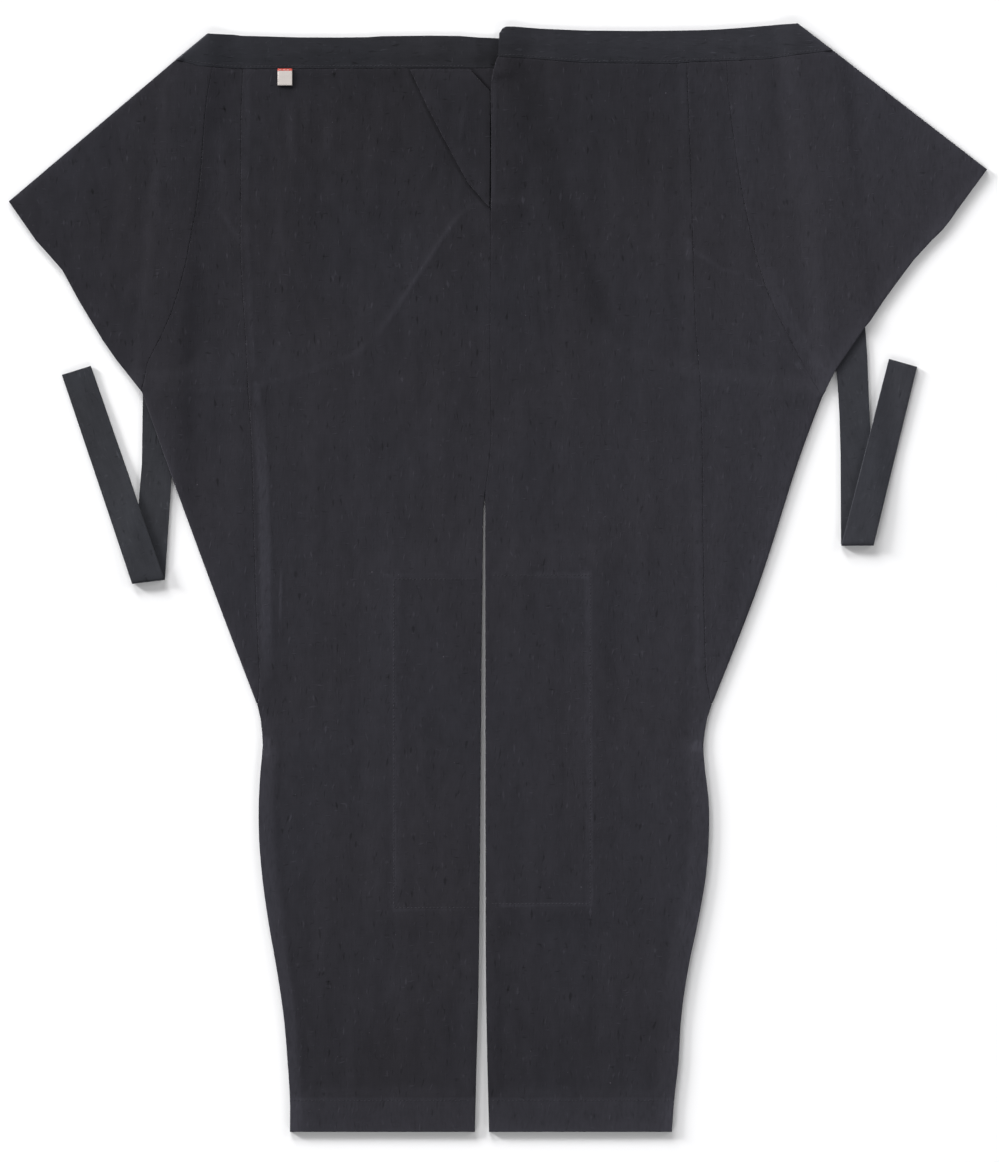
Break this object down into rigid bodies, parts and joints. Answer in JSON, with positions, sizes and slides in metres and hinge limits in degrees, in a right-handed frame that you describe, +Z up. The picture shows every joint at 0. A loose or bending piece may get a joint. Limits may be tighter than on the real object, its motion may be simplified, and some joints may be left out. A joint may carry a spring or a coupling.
{
  "type": "momohiki trousers laid flat",
  "caption": "Dark cotton work trousers laid flat, front up: slim legs, spread back wings, waistband and folded ties.",
  "frame": {"origin": "middle of the garment's outline, on the surface it lies on", "axes": "+Y from the hems up to the waistband, +X towards the wearer's left leg as seen from above, +Z up from the surface"},
  "size_m": [0.8803, 0.9968, 0.0044],
  "materials": {
    "dyed_cotton": "matt plain-woven cotton, dyed charcoal, slubby along the legs",
    "dyed_cotton_tape": "the same cotton folded into a flat tape and stitched along its edges",
    "label_cotton": "bare white woven tape"
  },
  "bodies": {
    "root": {"front_left": "dyed_cotton", "front_right": "dyed_cotton", "back_left": "dyed_cotton", "back_right": "dyed_cotton", "wing_left": "dyed_cotton", "wing_right": "dyed_cotton", "waistband_left": "dyed_cotton_tape", "waistband_right": "dyed_cotton_tape", "tie_left": "dyed_cotton_tape", "tie_right": "dyed_cotton_tape", "knee_patch_left": "dyed_cotton", "knee_patch_right": "dyed_cotton", "front_facing": "dyed_cotton", "size_label": "label_cotton"}
  },
  "joints": []
}
